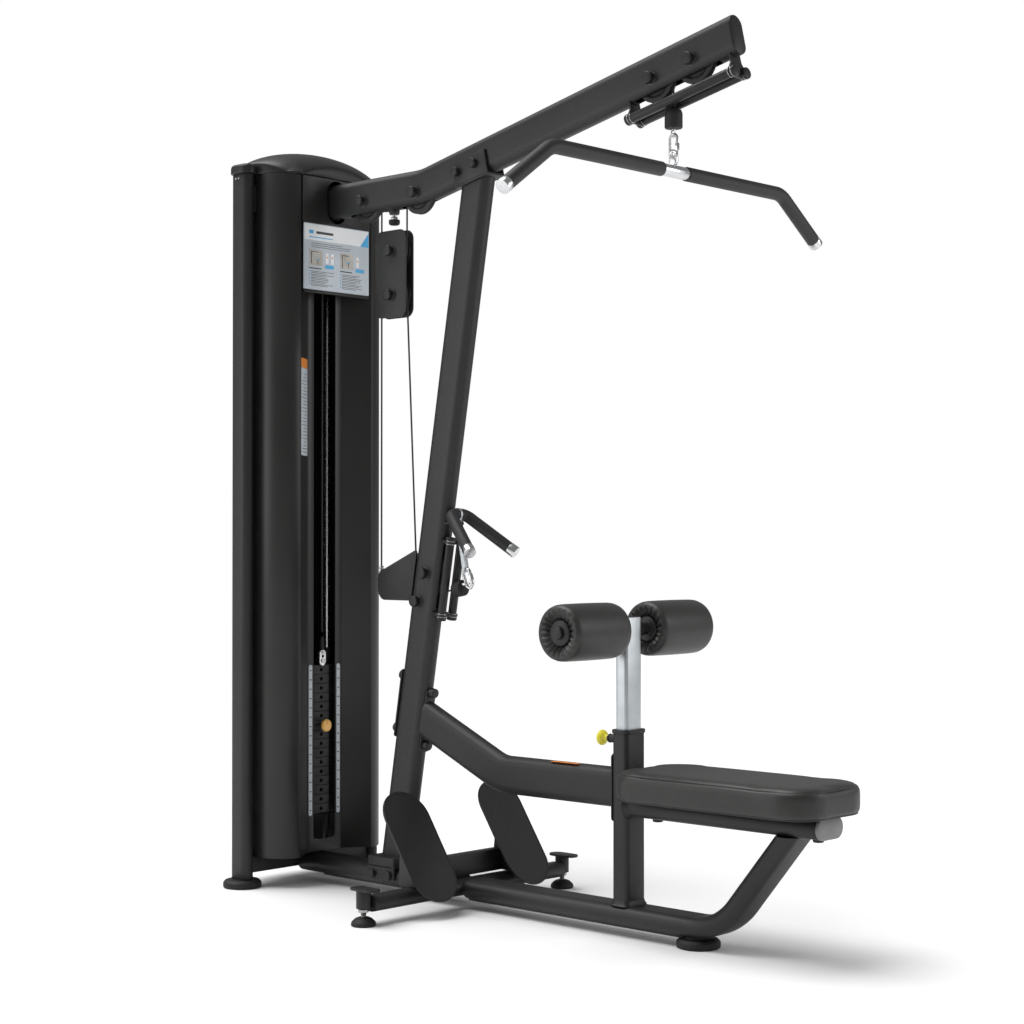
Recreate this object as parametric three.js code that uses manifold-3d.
// Lat pulldown machine with a low row station, in millimetres, +Z up.
// X runs from the weight tower (negative) to the seat (positive), Y runs across the machine.
import * as THREE from 'three';
import { mergeVertices } from 'three/addons/utils/BufferGeometryUtils.js';
import Module from 'manifold-3d';

const wasm = await Module();
wasm.setup();

// ---- driving dimensions -------------------------------------------------------------------
// Every X below is measured from the front face of the weight tower; Z is height over the floor.
const GAP = 0.3;
const CENTRE_X = 736; // middle of the machine's length, which becomes the origin

const TUBE = { wide: 100, thin: 50, wall: 3 }; // flat-oval frame tube
const BOLT = { head: 11, height: 9, shank: 7 };

const TOWER = { x: -129.5, y: 236, top: 2003, shroudBottom: 84, back: -240 };
const TOWER_TUBE = { x: 70, y: 40 };
const DISC_FOOT = { radius: 53.5, height: 22 };
const WINDOW = { x: -52, half: 64, slotHalf: 40.8, slotBottom: 118, slotTop: 1700, top: 1868 };
const RECESS = { half: 134, sideX: -83, sideY: 209 };
const SHEET = 3;
const CAP = { bottom: 2004.3, peak: 2089, lobe: 2032, front: 5, half: 222 };
const PLACARD = { half: 123.5, bottom: 1682, top: 1869.5 };

const PLATE = { pitch: 26.54, lowest: 203.3, resting: 9, lifted: 7, front: -65, back: -195 };
const PLATE_BODY = { front: -85, half: 115, bossHalf: 40, groove: 2 };
const STEM = { x: -127, radius: 10, bore: 12 };
const GUIDE = { y: 75, radius: 9.5, bore: 12 };
const STACK_CABLE_X = -63;

const BOOM = { z: 1938, bendX: 360, endX: 1421.7, endZ: 2171.5 };
const UPRIGHT = { footX: 255, footZ: 104.5, lean: 0.1714, bottom: 101, top: 1918 };
const RAIL = { z: 51.5, foot: 1304.7, bend: 1385, topX: 1585, topZ: 297 };
const CROSS = { x: 528, z: 54, wide: 60, tall: 40, footY: 375 };
const SEAT = { x0: 1113.5, x1: 1717, half: 146, corner: 87, top: 419.5, thick: 72 };
const SEAT_TUBE = { z: 322, x1: 1684 };
const POST = { x: 1087, deep: 50, wide: 74, corner: 12, top: 508 };
const INNER = { deep: 38, wide: 60, corner: 9, bottom: 232, top: 784 };
const PAD = { z: 753.5, radius: 71, from: 60, to: 264, bore: 13 };
const BEAM = { startZ: 489, bendX: 656, z: 361 };
const FOOT_PLATE = { x: 527, y: 177, z: 178, wide: 155, long: 320, thick: 7, tilt: 56 };

const CABLE = 2.5;
const PULLEY_WIDTH = 20;
const TOWER_PULLEY = { x: -19, z: 1934, outer: 48, run: 44 };
const REAR_PULLEY = { x: 134.7, z: 1924, outer: 57, run: 54 };
const MIDDLE_PULLEY = { x: 345.1, z: 1924, outer: 57, run: 54 };
const END_PULLEY = { x: 1179, z: 2103, outer: 57, run: 52 };
const NOSE_PULLEY = { x: 1302, z: 2130, outer: 57, run: 52 };
const UPPER_BLOCK = { x: 239.9, z: 1775, outer: 57, run: 51.2 };
const LOWER_BLOCK = { x: 239.9, z: 1653, outer: 57, run: 51.2 };
const ROW_PULLEY = { x: 388, z: 884, outer: 62, run: 58 };
const ROW_RISE = 10; // degrees that the row cable climbs from its pulley to the ball stop
const BLOCK = { wide: 124, bottom: 1590, top: 1832, inner: 11.5, thick: 4, corner: 26 };

const BAR = { x: 1231, z: 1871.5, bendY: 441.5, endY: 602, endZ: 1757, core: 13.5, grip: 17.75 };
const LAT_BALL = { bottom: 1976, top: 2026, radius: 22 };
const ROW_BALL = { from: 80, to: 116, radius: 22.5, eye: 126 }; // measured along the cable
const HANDLE = { x: 489, z: 1043, half: 28, endX: 619, endY: 86, endZ: 942, radius: 16 };
const LINK = { x: 525.4, z: 870.4, straight: 29, half: 9, wire: 4, lean: 20.8 };

// ---- materials ----------------------------------------------------------------------------
const finish = (color, roughness, metalness) =>
  new THREE.MeshStandardMaterial({ color, roughness, metalness });
const PAINT = finish(0x2c2d2e, 0.55, 0.35);
const SHROUD = finish(0x252627, 0.42, 0.05);
const PLATE_STEEL = finish(0x2f3031, 0.6, 0.3);
const RUBBER = finish(0x1d1d1e, 0.8, 0);
const VINYL = finish(0x242423, 0.5, 0);
const NYLON = finish(0x1b1b1c, 0.45, 0);
const CHROME = finish(0xd0d2d4, 0.15, 1);
const ALUMINIUM = finish(0xb4b8ba, 0.35, 0.9);
const CABLE_JACKET = finish(0x2a2b2c, 0.4, 0.1);
const YELLOW = finish(0xe8d820, 0.4, 0);
const AMBER = finish(0xeab452, 0.4, 0);
const PRINT = finish(0xc9d3dc, 0.5, 0);

// ---- solids -------------------------------------------------------------------------------
function solidOf(geometry) {
  const bare = geometry.index ? geometry.toNonIndexed() : geometry.clone();
  bare.deleteAttribute('normal');
  bare.deleteAttribute('uv');
  const merged = mergeVertices(bare, 1e-4);
  const triangles = [];
  const index = merged.index.array;
  for (let i = 0; i < index.length; i += 3) {
    const [a, b, c] = [index[i], index[i + 1], index[i + 2]];
    if (a !== b && b !== c && c !== a) triangles.push(a, b, c);
  }
  const make = (list) => new wasm.Manifold(new wasm.Mesh({
    numProp: 3,
    vertProperties: new Float32Array(merged.attributes.position.array),
    triVerts: new Uint32Array(list),
  }));
  const solid = make(triangles);
  return solid.volume() > 0 ? solid : make(triangles.reverse());
}

function geometryOf(solid) {
  const mesh = solid.getMesh();
  const geometry = new THREE.BufferGeometry();
  geometry.setAttribute('position', new THREE.BufferAttribute(new Float32Array(mesh.vertProperties), 3));
  geometry.setIndex(new THREE.BufferAttribute(new Uint32Array(mesh.triVerts), 1));
  geometry.computeVertexNormals();
  return geometry;
}

const join = (...solids) => solids.reduce((whole, piece) => whole.add(piece));
const cut = (solid, ...tools) => tools.reduce((left, tool) => left.subtract(tool), solid);

function frameFor(xAxis, yAxis, zAxis, origin) {
  const matrix = new THREE.Matrix4().makeBasis(xAxis, yAxis, zAxis);
  return matrix.setPosition(origin);
}

const X = new THREE.Vector3(1, 0, 0);
const Y = new THREE.Vector3(0, 1, 0);
const Z = new THREE.Vector3(0, 0, 1);
const at = (x, y, z) => new THREE.Vector3(x, y, z);

function extrusion(shape, depth, matrix, segments = 2) {
  const options = { depth, bevelEnabled: false, curveSegments: segments, steps: 1 };
  return solidOf(new THREE.ExtrudeGeometry(shape, options).applyMatrix4(matrix));
}

// prisms whose outline lies in one of the three main planes
const upright = (shape, z0, z1, segments) =>
  extrusion(shape, z1 - z0, frameFor(X, Y, Z, at(0, 0, z0)), segments);
const sideways = (shape, y0, y1, segments) =>
  extrusion(shape, y1 - y0, frameFor(X, Z, Y.clone().negate(), at(0, y1, 0)), segments);
const lengthways = (shape, x0, x1, segments) =>
  extrusion(shape, x1 - x0, frameFor(Y, Z, X, at(x0, 0, 0)), segments);

// a straight bar of any section; the section's x side points along `side`
function bar(shape, from, to, side, segments) {
  const along = to.clone().sub(from);
  const length = along.length();
  along.normalize();
  const third = along.clone().cross(side);
  return extrusion(shape, length, frameFor(side, third, along, from), segments);
}

function oval(width, height, cx = 0, cy = 0) {
  const shape = new THREE.Shape();
  const r = Math.min(width, height) / 2;
  const run = Math.abs(width - height) / 2;
  if (width >= height) {
    shape.absarc(cx + run, cy, r, -Math.PI / 2, Math.PI / 2);
    shape.absarc(cx - run, cy, r, Math.PI / 2, 1.5 * Math.PI);
  } else {
    shape.absarc(cx, cy + run, r, 0, Math.PI);
    shape.absarc(cx, cy - run, r, Math.PI, 2 * Math.PI);
  }
  shape.closePath();
  return shape;
}

function rounded(x0, y0, x1, y1, r) {
  const shape = new THREE.Shape();
  shape.absarc(x1 - r, y0 + r, r, -Math.PI / 2, 0);
  shape.absarc(x1 - r, y1 - r, r, 0, Math.PI / 2);
  shape.absarc(x0 + r, y1 - r, r, Math.PI / 2, Math.PI);
  shape.absarc(x0 + r, y0 + r, r, Math.PI, 1.5 * Math.PI);
  shape.closePath();
  return shape;
}

function hollowOval(width, height, wall) {
  const shape = oval(width, height);
  shape.holes.push(oval(width - 2 * wall, height - 2 * wall));
  return shape;
}

const polygon = (points) => new THREE.Shape(points.map(([x, y]) => new THREE.Vector2(x, y)));

function disc(radius, cx = 0, cy = 0) {
  const shape = new THREE.Shape();
  shape.absarc(cx, cy, radius, 0, 2 * Math.PI);
  return shape;
}

// the same outline as plain points, each one once, which a bevel needs
function sampled(shape, divisions) {
  const points = shape.getPoints(divisions);
  return new THREE.Shape(points.filter((p, i) => p.distanceTo(points[(i + 1) % points.length]) > 0.01));
}

function block(x0, x1, y0, y1, z0, z1) {
  const box = new THREE.BoxGeometry(x1 - x0, y1 - y0, z1 - z0);
  box.translate((x0 + x1) / 2, (y0 + y1) / 2, (z0 + z1) / 2);
  return solidOf(box);
}

function rod(from, to, radius, sides = 16, endRadius = radius) {
  const length = from.distanceTo(to);
  const cylinder = new THREE.CylinderGeometry(endRadius, radius, length, sides);
  const turn = new THREE.Quaternion().setFromUnitVectors(Y, to.clone().sub(from).normalize());
  cylinder.applyQuaternion(turn);
  cylinder.translate((from.x + to.x) / 2, (from.y + to.y) / 2, (from.z + to.z) / 2);
  return solidOf(cylinder);
}

// a turned piece: the profile is [radius, height along the axis] pairs, turned about `axis`
function turned(profile, origin, axis, sides = 24) {
  const lathe = new THREE.LatheGeometry(profile.map(([r, h]) => new THREE.Vector2(r, h)), sides);
  lathe.applyQuaternion(new THREE.Quaternion().setFromUnitVectors(Y, axis));
  lathe.translate(origin.x, origin.y, origin.z);
  return solidOf(lathe);
}

// A route through listed points: equal steps along it fall exactly on those points.
class Route extends THREE.Curve {
  constructor(points) {
    super();
    this.points = points;
  }

  getPointAt(u, target = new THREE.Vector3()) {
    const place = u * (this.points.length - 1);
    const first = Math.min(Math.floor(place), this.points.length - 2);
    return target.lerpVectors(this.points[first], this.points[first + 1], place - first);
  }

  getTangentAt(u, target = new THREE.Vector3()) {
    const here = Math.round(u * (this.points.length - 1));
    const before = this.points[Math.max(here - 1, 0)];
    const after = this.points[Math.min(here + 1, this.points.length - 1)];
    const back = here > 0 ? this.points[here].clone().sub(before).normalize() : at(0, 0, 0);
    const on = after.clone().sub(this.points[here]).normalize();
    return target.copy(back).add(on).normalize();
  }
}

function swept(shape, points, segments = 3) {
  const extrudePath = new Route(points);
  const options = { steps: points.length - 1, extrudePath, curveSegments: segments };
  return solidOf(new THREE.ExtrudeGeometry(shape, options));
}

// corner points joined by straight runs and round bends of one radius
function bent(corners, radius, steps) {
  const points = [corners[0]];
  for (let i = 1; i < corners.length - 1; i += 1) {
    const back = corners[i - 1].clone().sub(corners[i]).normalize();
    const on = corners[i + 1].clone().sub(corners[i]).normalize();
    const half = back.angleTo(on) / 2;
    const reach = radius / Math.tan(half);
    const centre = back.clone().add(on).normalize().multiplyScalar(radius / Math.sin(half)).add(corners[i]);
    const from = back.clone().multiplyScalar(reach).add(corners[i]).sub(centre);
    const to = on.clone().multiplyScalar(reach).add(corners[i]).sub(centre);
    const axis = from.clone().cross(to).normalize();
    const sweep = from.angleTo(to);
    for (let k = 0; k <= steps; k += 1) {
      points.push(from.clone().applyAxisAngle(axis, (sweep * k) / steps).add(centre));
    }
  }
  points.push(corners[corners.length - 1]);
  return points;
}

// points on a circle in the XZ plane, from one angle to another in degrees
function arc(pulley, start, end, steps) {
  const points = [];
  for (let k = 0; k <= steps; k += 1) {
    const angle = THREE.MathUtils.degToRad(start + ((end - start) * k) / steps);
    points.push(at(pulley.x + pulley.run * Math.cos(angle), 0, pulley.z + pulley.run * Math.sin(angle)));
  }
  return points;
}

// a bolt head, low and slightly domed, standing on a face along `axis`
function boltHead(origin, axis, radius = BOLT.head, height = BOLT.height) {
  const profile = [[0, -1], [radius, -1], [radius, height - 3], [radius - 3, height], [0, height]];
  return turned(profile, origin, axis, 10);
}

function crossBolt(x, z, face, radius = BOLT.head) {
  return join(
    rod(at(x, -face, z), at(x, face, z), BOLT.shank, 12),
    boltHead(at(x, face, z), Y, radius),
    boltHead(at(x, -face, z), Y.clone().negate(), radius),
  );
}

// ---- assembly helpers ---------------------------------------------------------------------
const machine = new THREE.Group();
machine.position.x = -CENTRE_X;

function piece(name, solid, material) {
  const mesh = new THREE.Mesh(geometryOf(solid), material);
  mesh.name = name;
  machine.add(mesh);
}

const mirrorY = (build) => [['left', -1], ['right', 1]].forEach(([side, sign]) => build(side, sign));
const uprightX = (z) => UPRIGHT.footX + UPRIGHT.lean * (z - UPRIGHT.footZ);
const LEAN = Math.atan(UPRIGHT.lean);
const alongUpright = at(Math.sin(LEAN), 0, Math.cos(LEAN));
const aheadOfUpright = at(Math.cos(LEAN), 0, -Math.sin(LEAN));
const RISE = Math.atan((BOOM.endZ - BOOM.z) / (BOOM.endX - BOOM.bendX));
const alongBoom = at(Math.cos(RISE), 0, Math.sin(RISE));
const belowBoom = at(Math.sin(RISE), 0, -Math.cos(RISE));
const rowCable = at(Math.cos(THREE.MathUtils.degToRad(ROW_RISE)), 0, Math.sin(THREE.MathUtils.degToRad(ROW_RISE)));
// a point on the row cable, some distance after it leaves its pulley
const rowCablePoint = (distance) => at(
  ROW_PULLEY.x + ROW_PULLEY.run * rowCable.z + distance * rowCable.x, 0,
  ROW_PULLEY.z - ROW_PULLEY.run * rowCable.x + distance * rowCable.z,
);
const boomPoint = (x) => at(x, 0, BOOM.z + Math.max(0, x - BOOM.bendX) * Math.tan(RISE));

// ---- weight tower -------------------------------------------------------------------------
function towerFrame() {
  const baseTop = 85;
  const rail = oval(TUBE.wide, TUBE.thin, 0, RAIL.z);
  const railEnd = CROSS.x - CROSS.wide / 2 - GAP;
  const channel = block(-22, railEnd, -28, 28, DISC_FOOT.height, RAIL.z);
  const rearRail = join(lengthways(rail, -109, railEnd), channel);
  const crossY = TOWER.y - TOWER_TUBE.y / 2 - GAP;
  const crossTube = block(-150, -108, -crossY, crossY, 40, baseTop);
  const sockets = [-1, 1].map((s) => rod(at(STEM.x, s * GUIDE.y, baseTop - 1), at(STEM.x, s * GUIDE.y, 176), 17));
  const bores = [-1, 1].map((s) => rod(at(STEM.x, s * GUIDE.y, baseTop), at(STEM.x, s * GUIDE.y, 180), GUIDE.radius + 1));
  piece('tower_base_and_rear_rail', cut(join(rearRail, crossTube, ...sockets), ...bores), PAINT);

  const bumper = rounded(STEM.x - 24, -GUIDE.y - 24, STEM.x + 24, GUIDE.y + 24, 10);
  const holes = [-1, 1].map((s) => rod(at(STEM.x, s * GUIDE.y, 170), at(STEM.x, s * GUIDE.y, 195), GUIDE.radius + 1));
  const bumperTop = PLATE.lowest - PLATE.pitch / 2 - GAP;
  const stemHole = rod(at(STEM.x, 0, 170), at(STEM.x, 0, 195), STEM.bore);
  piece('stack_bumper', cut(upright(bumper, 176 + GAP, bumperTop), ...holes, stemHole), RUBBER);

  mirrorY((side, sign) => {
    const tube = hollowOval(TOWER_TUBE.x, TOWER_TUBE.y, TUBE.wall);
    const body = extrusion(tube, TOWER.top - 21, frameFor(X, Y, Z, at(TOWER.x, sign * TOWER.y, 21)));
    const r = DISC_FOOT.radius;
    const foot = [[0, 0], [r - 3, 0], [r, 3], [r, 15], [r - 6, 22], [0, 22]];
    piece(`tower_tube_${side}`, join(body, turned(foot, at(TOWER.x, sign * TOWER.y, 0), Z, 20)), PAINT);
    const rodTop = 1900 - GAP;
    const guide = rod(at(STEM.x, sign * GUIDE.y, baseTop + GAP), at(STEM.x, sign * GUIDE.y, rodTop), GUIDE.radius);
    piece(`guide_rod_${side}`, guide, CHROME);
  });
  piece('tower_top_beam', block(-150, -109, -crossY, crossY, 1900, 1975), PAINT);
}

function towerCovers() {
  const panel = rounded(-WINDOW.half, TOWER.shroudBottom, WINDOW.half, WINDOW.top, 1);
  const slot = rounded(-WINDOW.slotHalf, WINDOW.slotBottom, WINDOW.slotHalf, WINDOW.slotTop, 14);
  panel.holes.push(slot);
  piece('window_panel', lengthways(panel, WINDOW.x - SHEET, WINDOW.x), SHROUD);

  // slanted recess wall, then a quarter curve round to the tower tube
  const outline = (sign) => {
    const outer = [[WINDOW.x, WINDOW.half + GAP], [0, RECESS.half]];
    for (let k = 1; k <= 8; k += 1) {
      const turn = (k / 8) * (Math.PI / 2);
      const x = RECESS.sideX * (1 - Math.cos(turn));
      outer.push([x, RECESS.half + (RECESS.sideY - RECESS.half) * Math.sin(turn)]);
    }
    const inner = outer.map(([x, y]) => [x - SHEET, y - SHEET * 0.9]).reverse();
    inner[inner.length - 1] = [WINDOW.x - SHEET, WINDOW.half + GAP];
    return polygon([...outer, ...inner].map(([x, y]) => [x, sign * y]));
  };
  mirrorY((side, sign) => {
    piece(`front_shroud_${side}`, upright(outline(sign), TOWER.shroudBottom, TOWER.top), SHROUD);
  });

  const rear = [];
  for (let k = 0; k <= 16; k += 1) {
    const turn = (k / 16) * Math.PI;
    rear.push([-168 + (TOWER.back + 168) * Math.sin(turn), RECESS.sideY * Math.cos(turn)]);
  }
  const rearInner = rear.map(([x, y]) => [x + SHEET, y * (1 - SHEET / RECESS.sideY)]).reverse();
  piece('rear_shroud', upright(polygon([...rear, ...rearInner]), TOWER.shroudBottom, TOWER.top), SHROUD);

  const half = RECESS.half - 2 * SHEET;
  const head = polygon([[-half, PLACARD.top + GAP], [half, PLACARD.top + GAP], [half, TOWER.top], [-half, TOWER.top]]);
  head.holes.push(oval(TUBE.thin + 8, TUBE.wide + 8, 0, BOOM.z));
  piece('tower_head_panel', lengthways(head, -SHEET, 0), SHROUD);
  const card = rounded(-PLACARD.half, PLACARD.bottom, PLACARD.half, PLACARD.top, 4);
  piece('instruction_placard', lengthways(card, -SHEET, 0), PRINT);
}

function towerCap() {
  const outline = new THREE.Shape();
  outline.moveTo(CAP.front, -128);
  outline.lineTo(CAP.front, 128);
  outline.quadraticCurveTo(CAP.front, 190, TOWER.x, CAP.half);
  outline.quadraticCurveTo(TOWER.back - 5, 190, TOWER.back - 5, 90);
  outline.lineTo(TOWER.back - 5, -90);
  outline.quadraticCurveTo(TOWER.back - 5, -190, TOWER.x, -CAP.half);
  outline.quadraticCurveTo(CAP.front, -190, CAP.front, -128);
  const crown = new THREE.SphereGeometry(1, 24, 14).rotateX(Math.PI / 2).scale(165, 270, 125);
  crown.translate(TOWER.x, 0, CAP.peak - 125);
  const dome = upright(sampled(outline, 5), CAP.bottom, CAP.peak + 5).intersect(solidOf(crown));
  const lobes = [-1, 1].map((sign) => {
    const lobe = oval(TOWER_TUBE.x + 12, TOWER_TUBE.y + 12, TOWER.x, sign * TOWER.y);
    const edge = { bevelThickness: 8, bevelSize: 8, bevelOffset: -8, bevelSegments: 1 };
    const soft = { depth: CAP.lobe - CAP.bottom - 8, ...edge };
    return solidOf(new THREE.ExtrudeGeometry(sampled(lobe, 4), soft).translate(0, 0, CAP.bottom));
  });
  const floor = block(-400, 200, -400, 400, 1800, CAP.bottom);
  piece('tower_cap', cut(join(dome, ...lobes), floor), SHROUD);
}

// ---- weight stack -------------------------------------------------------------------------
function plateStack(first, count) {
  const boss = PLATE_BODY.bossHalf;
  const { half } = PLATE_BODY;
  const outline = polygon([
    [PLATE.back, -half], [PLATE_BODY.front, -half], [PLATE_BODY.front, -boss], [PLATE.front, -boss],
    [PLATE.front, boss], [PLATE_BODY.front, boss], [PLATE_BODY.front, half], [PLATE.back, half],
  ]);
  const bottom = PLATE.lowest + (first - 0.5) * PLATE.pitch;
  const height = count * PLATE.pitch - (first ? 0 : GAP);
  let stack = upright(outline, bottom, bottom + height);
  const g = PLATE_BODY.groove;
  const core = polygon([
    [PLATE.back + g, -half + g], [PLATE_BODY.front - g, -half + g], [PLATE_BODY.front - g, -boss + g],
    [PLATE.front - g, -boss + g], [PLATE.front - g, boss - g], [PLATE_BODY.front - g, boss - g],
    [PLATE_BODY.front - g, half - g], [PLATE.back + g, half - g],
  ]);
  for (let k = 1; k < count; k += 1) {
    const joint = bottom + k * PLATE.pitch;
    const slab = block(-300, 0, -200, 200, joint - 1, joint + 1);
    stack = cut(stack, cut(slab, upright(core, joint - 3, joint + 3)));
  }
  const bore = (y, radius) => rod(at(STEM.x, y, bottom - 5), at(STEM.x, y, bottom + height + 5), radius, 14);
  stack = cut(stack, bore(0, STEM.bore), bore(GUIDE.y, GUIDE.bore), bore(-GUIDE.y, GUIDE.bore));
  for (let k = 0; k < count; k += 1) {
    const z = PLATE.lowest + (first + k) * PLATE.pitch;
    stack = cut(stack, rod(at(STEM.x, 0, z), at(0, 0, z), 5.5, 8));
  }
  return stack;
}

function weightStack() {
  piece('resting_plates', plateStack(0, PLATE.resting), PLATE_STEEL);
  piece('lifted_plates', plateStack(PLATE.resting, PLATE.lifted), PLATE_STEEL);

  const top = PLATE.lowest + (PLATE.resting + PLATE.lifted - 0.5) * PLATE.pitch + GAP;
  const head = rounded(-190, -95, -50 - 6, 95, 10);
  const slimmer = [-1, 1].map((s) => block(-95, 0, s > 0 ? 36 : -120, s > 0 ? 120 : -36, top - 5, top + 60));
  const casting = cut(upright(head, top, top + 26), ...slimmer);
  const guides = [-1, 1].map((s) => rod(at(STEM.x, s * GUIDE.y, top - 5), at(STEM.x, s * GUIDE.y, top + 40), GUIDE.bore));
  const eyeZ = top + 42;
  const eye = turned([[4, -4], [10, -4], [10, 4], [4, 4], [4, -4]], at(STACK_CABLE_X, 0, eyeZ), Y, 16);
  const neck = rod(at(STACK_CABLE_X, 0, top + 20), at(STACK_CABLE_X, 0, eyeZ - 8), 5, 12);
  const socket = rod(at(STACK_CABLE_X, 0, eyeZ + 8), at(STACK_CABLE_X, 0, eyeZ + 55), 6, 12);
  const pinZ = PLATE.lowest + PLATE.resting * PLATE.pitch;
  const stem = cut(rod(at(STEM.x, 0, 192), at(STEM.x, 0, top + 1), STEM.radius, 14),
    rod(at(STEM.x - 30, 0, pinZ), at(STEM.x + 30, 0, pinZ), 5.5, 8));
  const plain = cut(casting, ...guides);
  const whole = join(plain, neck, eye, socket, stem);
  piece('stack_head_and_stem', whole, CHROME);

  const knobX = PLATE.front + 16;
  const shaft = rod(at(STEM.x - 4, 0, pinZ), at(knobX + 1, 0, pinZ), 4.6, 8);
  const knob = turned([[0, 0], [13, 0], [18, 3], [18, 7], [14, 10], [0, 10]], at(knobX, 0, pinZ), X, 20);
  piece('selector_pin', join(shaft, knob), AMBER);
}

// ---- boom, upright and floor frame ----------------------------------------------------------
function boom() {
  const end = at(BOOM.endX, 0, BOOM.endZ);
  const rear = at(-108.5, 0, BOOM.z);
  const points = bent([end, at(BOOM.bendX, 0, BOOM.z), rear], 260, 3);
  const tube = swept(hollowOval(TUBE.thin, TUBE.wide, TUBE.wall), points);
  const plug = swept(oval(TUBE.thin - 2, TUBE.wide - 2), [end.clone().addScaledVector(alongBoom, 4), end.clone().addScaledVector(alongBoom, -12)]);
  const slotHalf = 13;
  const flatSlot = (x0, x1) => block(x0, x1, -slotHalf, slotHalf, BOOM.z - 60, BOOM.z - 26);
  const shape = polygon([[-slotHalf, 35], [slotHalf, 35], [slotHalf, 65], [-slotHalf, 65]]);
  const noseSlotBelow = extrusion(shape, 270, frameFor(Y, belowBoom, alongBoom.clone().negate(), boomPoint(1372)));
  const bolts = [
    crossBolt(REAR_PULLEY.x, REAR_PULLEY.z, 26, 15.5), crossBolt(MIDDLE_PULLEY.x, MIDDLE_PULLEY.z, 26, 15.5),
    crossBolt(END_PULLEY.x, END_PULLEY.z, 26, 15.5), crossBolt(NOSE_PULLEY.x, NOSE_PULLEY.z, 26, 15.5),
    rod(at(TOWER_PULLEY.x, -24, TOWER_PULLEY.z), at(TOWER_PULLEY.x, 24, TOWER_PULLEY.z), BOLT.shank, 12),
  ];
  const stud = rod(at(UPPER_BLOCK.x, 0, 1862), at(UPPER_BLOCK.x, 0, BOOM.z - 48), 5, 12);
  const bumper = rod(at(UPPER_BLOCK.x, 0, 1848), at(UPPER_BLOCK.x, 0, 1863), 15);
  const slots = [flatSlot(-76, 36), flatSlot(66, 204), flatSlot(277, 412)];
  const open = cut(tube, ...slots, noseSlotBelow);
  return join(open, plug, ...bolts, stud, bumper, ...rollerBrackets());
}

const ROLLER = { radius: 12, y: 22, from: at(1121, 0, 2015), to: at(1419, 0, 2079) };

function rollerBrackets() {
  const plates = [at(1113, 0, 2013.4), at(1422.5, 0, 2079.7)].map((low) => {
    const shape = polygon([[-36, -14], [36, -14], [36, 12], [22, 56], [-22, 56], [-36, 12]]);
    const up = belowBoom.clone().negate();
    return extrusion(shape, 5, frameFor(Y, up, alongBoom.clone(), low));
  });
  return plates;
}

function fairleadRollers() {
  mirrorY((side, sign) => {
    const from = ROLLER.from.clone().setY(sign * ROLLER.y);
    const to = ROLLER.to.clone().setY(sign * ROLLER.y);
    piece(`boom_roller_${side}`, rod(from, to, ROLLER.radius, 18), NYLON);
  });
  mirrorY((side, sign) => {
    const end = (z) => at(uprightX(z), sign * 20, z).addScaledVector(aheadOfUpright, 77);
    piece(`row_roller_${side}`, rod(end(790), end(975), 11.5, 18), NYLON);
  });
}

function mainUpright() {
  const foot = at(uprightX(UPRIGHT.bottom), 0, UPRIGHT.bottom);
  const top = at(uprightX(UPRIGHT.top + 60), 0, UPRIGHT.top + 60);
  const section = hollowOval(TUBE.thin, TUBE.wide, TUBE.wall);
  const tube = bar(section, foot, top, Y, 3);
  // the head is cut off just under the boom
  const under = boomPoint(560).addScaledVector(belowBoom, TUBE.wide / 2 + 9);
  const shape = polygon([[-60, -200], [60, -200], [60, 0], [-60, 0]]);
  const headCut = extrusion(shape, 400, frameFor(Y, belowBoom, alongBoom.clone().negate(), under.clone().addScaledVector(alongBoom, 200)));
  const mid = at(uprightX(884), 0, 884);
  const slotShape = polygon([[-13, -90], [13, -90], [13, 90], [-13, 90]]);
  const slot = extrusion(slotShape, 130, frameFor(Y, alongUpright, aheadOfUpright.clone(), mid.clone().addScaledVector(aheadOfUpright, -65)));
  const arms = [782, 977].map((z) => {
    const plate = rounded(44, -32, 90, 32, 6);
    const centre = at(uprightX(z), 0, z);
    return extrusion(plate, 6, frameFor(aheadOfUpright, Y, alongUpright, centre));
  });
  const pegs = [-16, 16].map((y) => rod(at(uprightX(1019) + 44, y, 1019), at(HANDLE.x + 4, y, 1019), 4, 10));
  const straps = [[410, 600]].map(([z0, z1]) => {
    const strip = polygon([[-22, 0], [22, 0], [22, z1 - z0], [-22, z1 - z0]]);
    const start = at(uprightX(z0), 0, z0).addScaledVector(aheadOfUpright, -58);
    return extrusion(strip, 9, frameFor(Y, alongUpright, aheadOfUpright.clone(), start));
  });
  const rearHeads = [445, 590].map((z) =>
    boltHead(at(uprightX(z), 0, z).addScaledVector(aheadOfUpright, -58), aheadOfUpright.clone().negate(), 13));
  const base = join(block(195, 300, -58, 58, RAIL.z + 25 + GAP, UPRIGHT.bottom + 4),
    block(195, 300, -58, -TUBE.wide / 2 - GAP, RAIL.z - 8, RAIL.z + 30),
    block(195, 300, TUBE.wide / 2 + GAP, 58, RAIL.z - 8, RAIL.z + 30));
  const baseHeads = [[215, 1], [280, 1], [215, -1], [280, -1]].map(([x, s]) =>
    boltHead(at(x, s * 58, 57), Y.clone().multiplyScalar(s), 10));
  const body = cut(tube, headCut, slot);
  const bolts = [crossBolt(ROW_PULLEY.x, ROW_PULLEY.z, 26, 15.5), crossBolt(358, 808, 26, 15.5)];
  piece('main_upright', join(body, ...arms, ...pegs, ...straps, ...rearHeads, base, ...baseHeads, ...bolts), PAINT);
}

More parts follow.
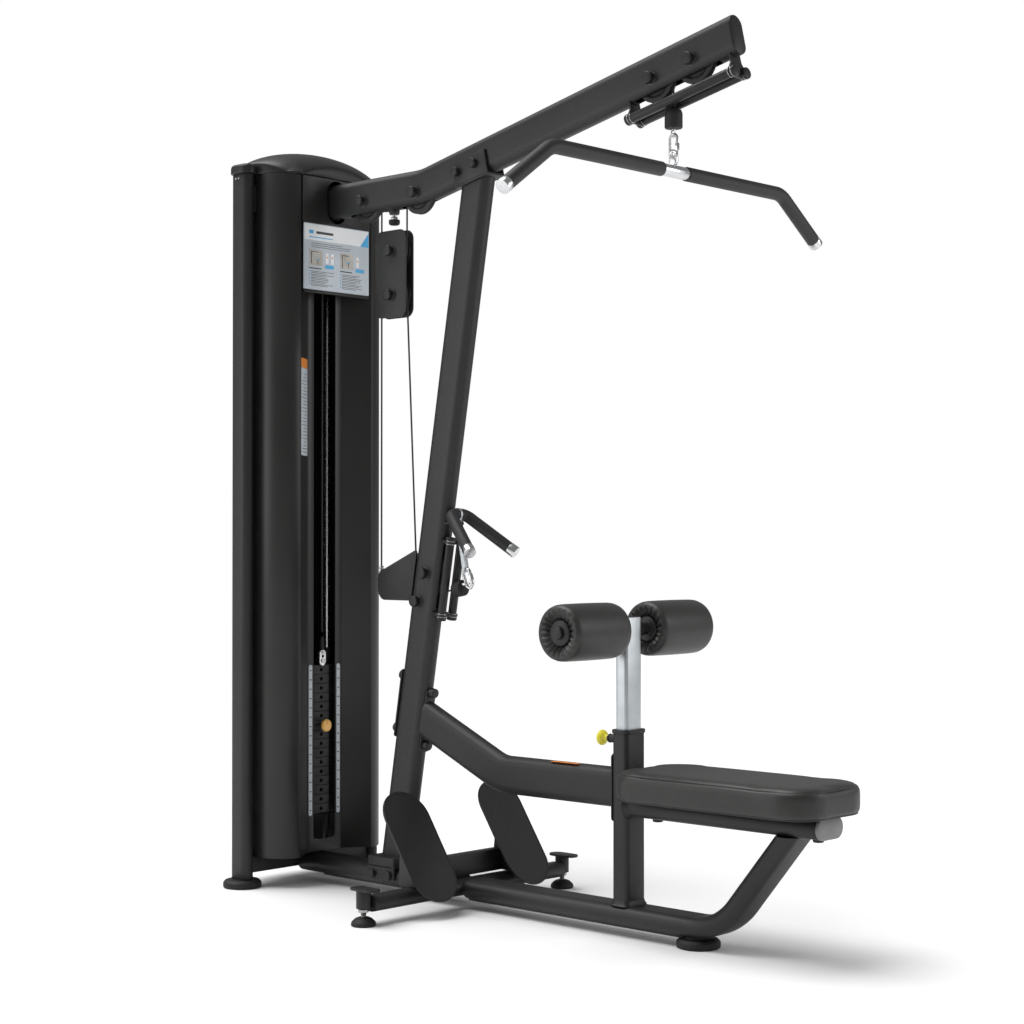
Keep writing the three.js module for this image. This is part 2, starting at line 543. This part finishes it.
function boomSaddle() {
  const low = boomPoint(560).addScaledVector(belowBoom, TUBE.wide / 2 + GAP);
  const floorShape = polygon([[-33, 0], [33, 0], [33, 8], [-33, 8]]);
  const start = low.clone().addScaledVector(alongBoom, 62);
  const floor = extrusion(floorShape, 124, frameFor(Y, belowBoom, alongBoom.clone().negate(), start));
  const cheeks = [-1, 1].map((s) => {
    const y0 = s > 0 ? TUBE.thin / 2 + GAP : -33;
    const shape = polygon([[y0, -62], [y0 + 7.7, -62], [y0 + 7.7, 2], [y0, 2]]);
    return extrusion(shape, 124, frameFor(Y, belowBoom, alongBoom.clone().negate(), start));
  });
  const heads = [[517, 1957], [582, 1972]].flatMap(([x, z]) => [-1, 1].map((s) =>
    boltHead(at(x, s * 33, z), Y.clone().multiplyScalar(s), 13)));
  piece('boom_saddle', join(floor, ...cheeks, ...heads), PAINT);
}

function rowGusset() {
  const rear = (z) => uprightX(z) - TUBE.wide / 2 / Math.cos(LEAN) - 0.6;
  const outline = polygon([
    [rear(950), 950], [196, 884], [190, 874], [190, 832], [203, 812], [215, 808], [rear(808), 808],
  ]);
  const cheeks = [sideways(outline, 12, 17), sideways(outline, -17, -12)];
  const web = block(215, 310, -12.5, 12.5, 808, 816);
  const anchorX = LOWER_BLOCK.x - LOWER_BLOCK.run;
  const anchor = join(rod(at(anchorX, 0, 868), at(anchorX, 0, 902), 5.5, 12),
    rod(at(anchorX + 6, -16, 866), at(anchorX + 6, 16, 866), 6, 12),
    boltHead(at(anchorX, 0, 884), Z, 8, 8));
  piece('row_gusset_and_anchor', join(...cheeks, web, anchor), PAINT);
}

function floorFrame() {
  const tube = sideways(oval(CROSS.wide, CROSS.tall, CROSS.x, CROSS.z), -357, 357);
  const posts = [-1, 1].flatMap((s) => {
    const y = s * CROSS.footY;
    const lid = oval(92, 44, CROSS.x + 6, y);
    return [rod(at(CROSS.x, y, 44), at(CROSS.x, y, 90), 19), upright(lid, 89, 95, 3)];
  });
  piece('front_cross_member', join(tube, ...posts), PAINT);
  mirrorY((side, sign) => {
    const y = sign * CROSS.footY;
    const dome = [[0, 0], [30, 0], [32.5, 3], [31, 10], [22, 19], [12, 23], [12, 28], [7, 29], [7, 43.7], [0, 43.7]];
    piece(`levelling_foot_${side}`, turned(dome, at(CROSS.x, y, 0), Z, 16), RUBBER);
  });

  const start = CROSS.x + CROSS.wide / 2 + GAP;
  const corners = [at(RAIL.topX, 0, RAIL.topZ), at(RAIL.bend, 0, RAIL.z), at(start, 0, RAIL.z)];
  const top = corners[1].clone().sub(corners[0]).normalize().multiplyScalar(-30).add(corners[0]);
  const path = bent([top, corners[1], corners[2]], 170, 5);
  const section = oval(TUBE.wide, TUBE.thin);
  const rail = swept(section, path);
  const above = block(1400, 1800, -80, 80, SEAT_TUBE.z - TUBE.thin / 2 - GAP, 500);
  const channel = block(start, 1281, -28, 28, DISC_FOOT.height, RAIL.z);
  const r = DISC_FOOT.radius;
  const foot = turned([[0, 0], [r - 3, 0], [r, 3], [r, 15], [r - 6, 22], [33, 23], [33, 50], [0, 50]], at(RAIL.foot, 0, 0), Z, 20);
  piece('front_rail_and_foot', cut(join(rail, channel, foot), above), PAINT);
}

function footRest() {
  const tilt = THREE.MathUtils.degToRad(FOOT_PLATE.tilt);
  const along = at(-Math.cos(tilt), 0, Math.sin(tilt));
  const out = at(Math.sin(tilt), 0, Math.cos(tilt));
  mirrorY((side, sign) => {
    const centre = at(FOOT_PLATE.x, sign * FOOT_PLATE.y, FOOT_PLATE.z);
    const shape = oval(FOOT_PLATE.wide, FOOT_PLATE.long);
    const start = centre.clone().addScaledVector(out, -FOOT_PLATE.thick / 2);
    piece(`foot_plate_${side}`, extrusion(shape, FOOT_PLATE.thick, frameFor(Y, along, out, start), 5), PAINT);
  });
  const behind = (z) => FOOT_PLATE.x - (z - FOOT_PLATE.z) / Math.tan(tilt) - (FOOT_PLATE.thick / 2 + 1) / Math.sin(tilt);
  const wedge = polygon([[488, 78], [behind(78), 78], [behind(200), 200], [behind(200) - 12, 200], [488, 136]]);
  const wedges = [-1, 1].map((s) => sideways(wedge, s > 0 ? 140 : -214, s > 0 ? 214 : -140));
  const cross = block(488, 516, -150, 150, 78, 136);
  piece('foot_rest_support', join(cross, ...wedges), PAINT);
}

// ---- seat and thigh pads --------------------------------------------------------------------
function seatBeam() {
  const slope = at(uprightX(BEAM.startZ), 0, BEAM.startZ + 20);
  const corners = [slope, at(BEAM.bendX, 0, BEAM.z), at(POST.x - POST.deep / 2 - 3, 0, BEAM.z)];
  const tube = swept(oval(TUBE.thin, TUBE.wide), bent(corners, 150, 3));
  const faceShape = polygon([[-60, -300], [60, -300], [60, 300], [-60, 300]]);
  const mid = at(uprightX(490), 0, 490);
  const face = mid.clone().addScaledVector(aheadOfUpright, TUBE.wide / 2 + GAP);
  const behind = extrusion(faceShape, 200, frameFor(Y, alongUpright, aheadOfUpright.clone(), face.clone().addScaledVector(aheadOfUpright, -200)));
  const flange = polygon([[-27, -84], [27, -84], [27, 84], [-27, 84]]);
  const frontFlange = extrusion(flange, 9, frameFor(Y, alongUpright, aheadOfUpright.clone(), face));
  const frontHeads = [425, 570].map((z) =>
    boltHead(at(uprightX(z), 0, z).addScaledVector(aheadOfUpright, TUBE.wide / 2 + 9), aheadOfUpright.clone(), 13));
  const x1 = POST.x - POST.deep / 2 - GAP;
  const postFlange = lengthways(rounded(-34, 280, 34, 447, 10), x1 - 4, x1);
  const postHeads = [297, 430].map((z) => boltHead(at(x1 - 4, 0, z), X.clone().negate(), 12));
  piece('seat_beam', join(cut(tube, behind), frontFlange, ...frontHeads, postFlange, ...postHeads), PAINT);
}

function seatPost() {
  const section = (tube, grow) => {
    const [dx, dy] = [tube.deep / 2 + grow, tube.wide / 2 + grow];
    return rounded(POST.x - dx, -dy, POST.x + dx, dy, tube.corner + grow);
  };
  const outer = section(POST, 0);
  outer.holes.push(section(POST, -3));
  const tube = upright(outer, RAIL.z + 25 + GAP, POST.top, 3);
  const collarShape = section(POST, 3);
  collarShape.holes.push(section(INNER, 0.5));
  const collar = upright(collarShape, POST.top - 9, POST.top, 3);
  const x0 = POST.x - POST.deep / 2;
  const barrel = rod(at(x0 - 32, 0, 481), at(x0 + 1, 0, 481), 10.5, 16);
  const bore = rod(at(x0 - 40, 0, 481), at(x0 + 10, 0, 481), 5.5, 10);
  piece('seat_post', cut(join(tube, collar, barrel), bore), PAINT);

  const inner = section(INNER, 0);
  inner.holes.push(section(INNER, -3));
  const innerTube = upright(inner, INNER.bottom, INNER.top, 3);
  const holes = [431, 456, 481, 506, 531, 556, 581].map((z) => rod(at(x0, 0, z), at(POST.x, 0, z), 5.5, 8));
  const housing = rod(at(POST.x, -54, PAD.z), at(POST.x, 54, PAD.z), 17, 20);
  const axle = rod(at(POST.x, -PAD.to - 2, PAD.z), at(POST.x, PAD.to + 2, PAD.z), PAD.bore - 1, 16);
  const heads = [-1, 1].map((s) =>
    boltHead(at(POST.x, s * (PAD.to + 1), PAD.z), Y.clone().multiplyScalar(s), 20, 7));
  piece('thigh_post_and_axle', join(cut(innerTube, ...holes), housing, axle, ...heads), ALUMINIUM);

  const pin = rod(at(x0 - 34, 0, 481), at(x0 + 12, 0, 481), 4.5, 8);
  const knob = turned([[0, -38], [12, -38], [20, -30], [20, -20], [13, -9], [8, -5], [8, 0], [0, 0]], at(x0 - 33, 0, 481), X, 18);
  piece('pop_pin', join(pin, knob), YELLOW);
}

function thighPads() {
  mirrorY((side, sign) => {
    const { from, to, radius, bore } = PAD;
    const mid = (from + to) / 2;
    const h = (to - from) / 2;
    const profile = [[bore, -h], [radius - 20, -h], [radius - 6, -h + 5], [radius, -h + 20],
      [radius, h - 20], [radius - 6, h - 5], [radius - 20, h], [bore, h], [bore, -h]];
    piece(`thigh_pad_${side}`, turned(profile, at(POST.x, sign * mid, PAD.z), Y, 20), VINYL);
  });
}

function seat() {
  const cap = lengthways(oval(TUBE.wide, TUBE.thin, 0, SEAT_TUBE.z), SEAT_TUBE.x1 - 10, SEAT_TUBE.x1, 3);
  const section = oval(TUBE.wide, TUBE.thin, 0, SEAT_TUBE.z);
  const body = lengthways(section, POST.x + POST.deep / 2 + GAP, SEAT_TUBE.x1 - 9, 3);
  const heads = [1180, 1650].map((x) => boltHead(at(x, 0, SEAT_TUBE.z - 25), Z.clone().negate(), 13, 10));
  piece('seat_tube', join(body, cap, ...heads), PAINT);

  const outline = rounded(SEAT.x0 + 9, -SEAT.half + 9, SEAT.x1 - 9, SEAT.half - 9, SEAT.corner - 9);
  const soft = { depth: SEAT.thick - 18 - GAP, bevelThickness: 9, bevelSize: 9, bevelSegments: 2 };
  const cushion = new THREE.ExtrudeGeometry(sampled(outline, 3), soft).translate(0, 0, SEAT.top - SEAT.thick + 9 + GAP);
  piece('seat_cushion', solidOf(cushion), VINYL);
}

// ---- cables and pulleys ---------------------------------------------------------------------
function grooved({ x, z, outer, run }) {
  const w = PULLEY_WIDTH / 2;
  const seatRadius = run - CABLE - 1.5;
  const profile = [[BOLT.shank + 0.5, -w], [outer, -w], [outer, -5], [seatRadius, -3.6],
    [seatRadius, 3.6], [outer, 5], [outer, w], [BOLT.shank + 0.5, w], [BOLT.shank + 0.5, -w]];
  return turned(profile, at(x, 0, z), Y, 16);
}

function pulleys() {
  const all = {
    tower_pulley: TOWER_PULLEY, boom_pulley_rear: REAR_PULLEY, boom_pulley_middle: MIDDLE_PULLEY,
    boom_pulley_end: END_PULLEY, boom_pulley_nose: NOSE_PULLEY, block_pulley_upper: UPPER_BLOCK,
    block_pulley_lower: LOWER_BLOCK, row_pulley: ROW_PULLEY,
  };
  Object.entries(all).forEach(([name, pulley]) => piece(name, grooved(pulley), NYLON));

  const x0 = UPPER_BLOCK.x - BLOCK.wide / 2;
  const shape = rounded(x0, BLOCK.bottom, x0 + BLOCK.wide, BLOCK.top, BLOCK.corner);
  const { inner, thick } = BLOCK;
  const face = inner + thick;
  piece('floating_block', join(
    sideways(shape, inner, face), sideways(shape, -face, -inner),
    crossBolt(UPPER_BLOCK.x, UPPER_BLOCK.z, face, 12), crossBolt(LOWER_BLOCK.x, LOWER_BLOCK.z, face, 12),
  ), PAINT);
}

function tangentAngle(from, to) {
  // a cable over the tops of both pulleys leaves them at this angle
  const along = Math.atan2(to.z - from.z, to.x - from.x);
  const spread = Math.hypot(to.x - from.x, to.z - from.z);
  return THREE.MathUtils.radToDeg(along + Math.acos((from.run - to.run) / spread));
}

function crossingAngle(from, to) {
  // a cable that passes from the far side of one pulley to the near side of the next
  const along = Math.atan2(to.z - from.z, to.x - from.x);
  const spread = Math.hypot(to.x - from.x, to.z - from.z);
  return THREE.MathUtils.radToDeg(along + Math.acos((from.run + to.run) / spread));
}

function cables() {
  const jacket = disc(CABLE);
  const headTop = PLATE.lowest + (PLATE.resting + PLATE.lifted - 0.5) * PLATE.pitch + 97 + 2 * GAP;
  const leave = tangentAngle(MIDDLE_PULLEY, END_PULLEY);
  const lat = [
    at(STACK_CABLE_X, 0, headTop), ...arc(TOWER_PULLEY, 180, 90, 6), ...arc(REAR_PULLEY, 90, 0, 6),
    ...arc(UPPER_BLOCK, 180, 360, 10), ...arc(MIDDLE_PULLEY, 180, leave, 6), ...arc(END_PULLEY, leave, 0, 7),
    at(END_PULLEY.x + END_PULLEY.run, 0, LAT_BALL.top + 12 + GAP),
  ];
  piece('lat_cable', swept(jacket, lat, 4), CABLE_JACKET);

  const slant = crossingAngle(LOWER_BLOCK, ROW_PULLEY);
  const row = [
    at(LOWER_BLOCK.x - LOWER_BLOCK.run, 0, 902 + GAP), ...arc(LOWER_BLOCK, 180, slant, 10),
    ...arc(ROW_PULLEY, 180 + slant, 270 + ROW_RISE, 7), rowCablePoint(ROW_BALL.from - GAP),
  ];
  piece('row_cable', swept(jacket, row, 4), CABLE_JACKET);
}

// ---- handles --------------------------------------------------------------------------------
function latBar() {
  const { x, z } = BAR;
  const ball = turned([[0, LAT_BALL.bottom], [18, LAT_BALL.bottom], [22, LAT_BALL.bottom + 6],
    [22, LAT_BALL.top - 8], [16, LAT_BALL.top], [6, LAT_BALL.top + 4], [6, LAT_BALL.top + 12], [0, LAT_BALL.top + 12]],
  at(x, 0, 0), Z, 16);
  const shank = rod(at(x, 0, LAT_BALL.bottom - 6), at(x, 0, LAT_BALL.bottom + 2), 5, 12);
  const eye = turned([[6.4, -2], [9.8, -2], [9.8, 2], [6.4, 2], [6.4, -2]], at(x, 0, LAT_BALL.bottom - 13), X, 16);
  piece('lat_ball_stop', join(ball, shank, eye), RUBBER);

  // the oval link hangs in the eye and carries the bar's tab
  const link = closedLoop(linkPoints(at(x, 0, 1931), X, Z, 40, 11), 3.6);
  const tab = cut(sideways(rounded(x - 12, z + 14, x + 12, z + 54, 11), -4, 4),
    rod(at(x, -9, z + 42), at(x, 9, z + 42), 5.5, 12));
  const corners = [at(x, BAR.endY, BAR.endZ), at(x, BAR.bendY, z), at(x, -BAR.bendY, z), at(x, -BAR.endY, BAR.endZ)];
  const path = bent(corners, 70, 4);
  const core = swept(disc(BAR.core), path, 7);
  const sleeve = rod(at(x, -48, z), at(x, 48, z), 15.5, 20);
  const outward = corners[0].clone().sub(corners[1]).normalize();
  const caps = [1, -1].map((s) => {
    const tip = corners[0].clone().addScaledVector(outward, 2);
    const from = corners[0].clone().addScaledVector(outward, -18);
    return rod(at(x, s * from.y, from.z), at(x, s * tip.y, tip.z), BAR.grip + 0.4, 20);
  });
  piece('lat_bar', join(core, sleeve, tab, ...caps, link), CHROME);

  mirrorY((side, sign) => {
    const inner = corners[0].clone().addScaledVector(outward, -18 - GAP);
    const route = [at(x, sign * inner.y, inner.z), at(x, sign * BAR.bendY, z), at(x, sign * (48 + GAP), z)];
    const ring = disc(BAR.grip);
    ring.holes.push(disc(BAR.core + 0.4));
    piece(`lat_grip_${side}`, swept(ring, bent(route, 70, 4), 7), RUBBER);
  });
}

// the middle line of a long link: two straight sides and two half circles
function linkPoints(centre, side, up, straight, half) {
  const points = [];
  for (let k = 0; k <= 17; k += 1) {
    const sign = k <= 8 ? 1 : -1;
    const turn = ((k <= 8 ? k : k - 1) / 8) * Math.PI;
    const height = (sign * straight) / 2 + half * Math.sin(turn);
    points.push(centre.clone().addScaledVector(side, half * Math.cos(turn)).addScaledVector(up, height));
  }
  return points;
}

// a closed ring of round wire, made of two halves that overlap a little
function closedLoop(points, wire) {
  const halfway = Math.floor(points.length / 2);
  const first = points.slice(0, halfway + 2);
  const second = [...points.slice(halfway), points[0], points[1]];
  return join(swept(disc(wire), first, 3), swept(disc(wire), second, 3));
}

function rowHandle() {
  const { from, to, radius } = ROW_BALL;
  const length = to - from;
  const body = turned([[0, 0], [14, 0], [radius, 8], [radius, length - 5], [radius - 5, length], [0, length]],
    rowCablePoint(from), rowCable, 16);
  // the eye is a flat tongue above the ball's middle line, with the link through its hole
  const across = rowCable.clone().cross(Y);
  const hole = rowCablePoint(ROW_BALL.eye).addScaledVector(across, 7.5);
  const tongue = rounded(-20, -11, 10.5, 11, 9);
  tongue.holes.push(disc(LINK.wire + 3));
  const eye = extrusion(tongue, 6, frameFor(rowCable, Y, across, hole.clone().addScaledVector(across, -3)));
  piece('row_ball_stop', join(body, eye), RUBBER);

  const lean = THREE.MathUtils.degToRad(LINK.lean);
  const [side, rise] = [at(Math.cos(lean), 0, Math.sin(lean)), at(-Math.sin(lean), 0, Math.cos(lean))];
  const centre = at(LINK.x, 0, LINK.z);
  const ring = closedLoop(linkPoints(centre, side, rise, LINK.straight, LINK.half), LINK.wire);
  const foot = centre.clone().addScaledVector(rise, LINK.straight / 2 + LINK.half);
  const apex = at(HANDLE.x, 0, HANDLE.z);
  const up = apex.clone().sub(foot).normalize();
  const facing = up.clone().cross(Y).normalize();
  const reach = apex.distanceTo(foot);
  const strap = extrusion(rounded(-11, -9, 11, reach, 8), 5, frameFor(Y, up, facing.clone().negate(), foot.clone().addScaledVector(facing, 2.5)));
  const corners = [1, -1].flatMap((s) => {
    const pair = [at(HANDLE.endX, s * HANDLE.endY, HANDLE.endZ), at(HANDLE.x, s * HANDLE.half, HANDLE.z)];
    return s > 0 ? pair : pair.reverse();
  });
  const tube = swept(disc(HANDLE.radius), bent(corners, 26, 4), 5);
  const collar = rod(at(HANDLE.x, -5, HANDLE.z), at(HANDLE.x, 5, HANDLE.z), HANDLE.radius + 2.5, 18);
  piece('row_handle', join(tube, collar, strap, ring), RUBBER);
}

// ---- the whole machine ----------------------------------------------------------------------
towerFrame();
towerCovers();
towerCap();
weightStack();
piece('boom', boom(), PAINT);
fairleadRollers();
mainUpright();
boomSaddle();
rowGusset();
floorFrame();
footRest();
seatBeam();
seatPost();
thighPads();
seat();
pulleys();
cables();
latBar();
rowHandle();

export default machine;
